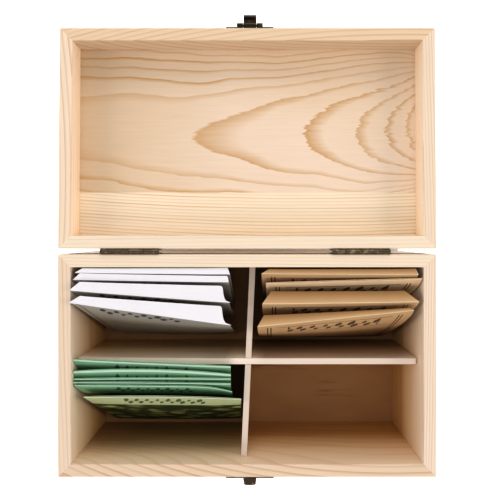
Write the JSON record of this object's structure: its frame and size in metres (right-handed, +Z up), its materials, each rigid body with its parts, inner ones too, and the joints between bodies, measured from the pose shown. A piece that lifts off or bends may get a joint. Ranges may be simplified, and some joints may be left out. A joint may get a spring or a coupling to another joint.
{
  "type": "garden seed organizer box",
  "caption": "Shallow mitred wooden box with a hinged lid and hasp; crossed dividers sort paper seed packets into compartments.",
  "frame": {"origin": "middle of the underside of the base", "axes": "+X along the box to the right, +Y towards the hinges and the open lid, +Z up"},
  "size_m": [0.272, 0.3458, 0.089],
  "materials": {
    "wall_wood": "bare planed pine",
    "panel_wood": "bare flat-sawn pine",
    "divider_wood": "bare plywood",
    "bronzed_steel": "antique bronze plating",
    "white_paper": "uncoated paper",
    "kraft_paper": "uncoated kraft paper",
    "green_paper": "coated paper"
  },
  "bodies": {
    "box_base": {"base_back_wall": "wall_wood", "base_bottom_panel": "panel_wood", "base_front_wall": "wall_wood", "base_hinge_nails": "bronzed_steel", "base_left_wall": "wall_wood", "base_right_wall": "wall_wood", "catch_nails": "bronzed_steel", "catch_plate": "bronzed_steel", "left_hinge_base_leaf": "bronzed_steel", "left_hinge_pin": "bronzed_steel", "long_divider": "divider_wood", "right_hinge_base_leaf": "bronzed_steel", "right_hinge_pin": "bronzed_steel", "short_divider": "divider_wood"},
    "box_lid": {"hasp_nails": "bronzed_steel", "hasp_pin": "bronzed_steel", "hasp_plate": "bronzed_steel", "left_hinge_lid_leaf": "bronzed_steel", "lid_back_wall": "wall_wood", "lid_front_wall": "wall_wood", "lid_hinge_nails": "bronzed_steel", "lid_left_wall": "wall_wood", "lid_panel_front_board": "panel_wood", "lid_panel_hinge_board": "panel_wood", "lid_right_wall": "wall_wood", "right_hinge_lid_leaf": "bronzed_steel"},
    "latch_tongue": {"hasp_tongue": "bronzed_steel"},
    "green_packet_1": {"green_packet_1": "green_paper"},
    "green_packet_2": {"green_packet_2": "green_paper"},
    "green_packet_3": {"green_packet_3": "green_paper"},
    "green_packet_4": {"green_packet_4": "green_paper"},
    "green_packet_5": {"green_packet_5": "green_paper"},
    "green_packet_6": {"green_packet_6": "green_paper"},
    "kraft_packet_1": {"kraft_packet_1": "kraft_paper"},
    "kraft_packet_2": {"kraft_packet_2": "kraft_paper"},
    "kraft_packet_3": {"kraft_packet_3": "kraft_paper"},
    "kraft_packet_4": {"kraft_packet_4": "kraft_paper"},
    "white_packet_1": {"white_packet_1": "white_paper"},
    "white_packet_2": {"white_packet_2": "white_paper"},
    "white_packet_3": {"white_packet_3": "white_paper"},
    "white_packet_4": {"white_packet_4": "white_paper"}
  },
  "joints": [
    {"name": "lid_hinge", "type": "hinge", "parent": "box_base", "child": "box_lid", "pos_m": [0, 0.08197, 0.084], "axis": [-1, 0, 0], "range_deg": [-181.1, 0]},
    {"name": "hasp_hinge", "type": "hinge", "parent": "box_lid", "child": "latch_tongue", "pos_m": [0.0018, 0.24602, 0.07895], "axis": [-1, 0, 0], "range_deg": [-94, 0]},
    {"name": "green_packet_1_lift", "type": "slide", "parent": "box_base", "child": "green_packet_1", "axis": [0, 0.452, 0.892], "range_m": [0, 0.085]},
    {"name": "green_packet_2_lift", "type": "slide", "parent": "box_base", "child": "green_packet_2", "axis": [0, 0.452, 0.892], "range_m": [0, 0.085]},
    {"name": "green_packet_3_lift", "type": "slide", "parent": "box_base", "child": "green_packet_3", "axis": [0, 0.452, 0.892], "range_m": [0, 0.085]},
    {"name": "green_packet_4_lift", "type": "slide", "parent": "box_base", "child": "green_packet_4", "axis": [0, 0.452, 0.892], "range_m": [0, 0.085]},
    {"name": "green_packet_5_lift", "type": "slide", "parent": "box_base", "child": "green_packet_5", "axis": [0, 0.452, 0.892], "range_m": [0, 0.085]},
    {"name": "green_packet_6_lift", "type": "slide", "parent": "box_base", "child": "green_packet_6", "axis": [0, 0.452, 0.892], "range_m": [0, 0.085]},
    {"name": "kraft_packet_1_lift", "type": "slide", "parent": "box_base", "child": "kraft_packet_1", "axis": [0, 0.3483, 0.9374], "range_m": [0, 0.085]},
    {"name": "kraft_packet_2_lift", "type": "slide", "parent": "box_base", "child": "kraft_packet_2", "axis": [0, 0.3483, 0.9374], "range_m": [0, 0.085]},
    {"name": "kraft_packet_3_lift", "type": "slide", "parent": "box_base", "child": "kraft_packet_3", "axis": [0, 0.3483, 0.9374], "range_m": [0, 0.085]},
    {"name": "kraft_packet_4_lift", "type": "slide", "parent": "box_base", "child": "kraft_packet_4", "axis": [0, 0.3483, 0.9374], "range_m": [0, 0.085]},
    {"name": "white_packet_1_lift", "type": "slide", "parent": "box_base", "child": "white_packet_1", "axis": [0, 0.3613, 0.9324], "range_m": [0, 0.085]},
    {"name": "white_packet_2_lift", "type": "slide", "parent": "box_base", "child": "white_packet_2", "axis": [0, 0.3613, 0.9324], "range_m": [0, 0.085]},
    {"name": "white_packet_3_lift", "type": "slide", "parent": "box_base", "child": "white_packet_3", "axis": [0, 0.3613, 0.9324], "range_m": [0, 0.085]},
    {"name": "white_packet_4_lift", "type": "slide", "parent": "box_base", "child": "white_packet_4", "axis": [0, 0.3613, 0.9324], "range_m": [0, 0.085]}
  ]
}
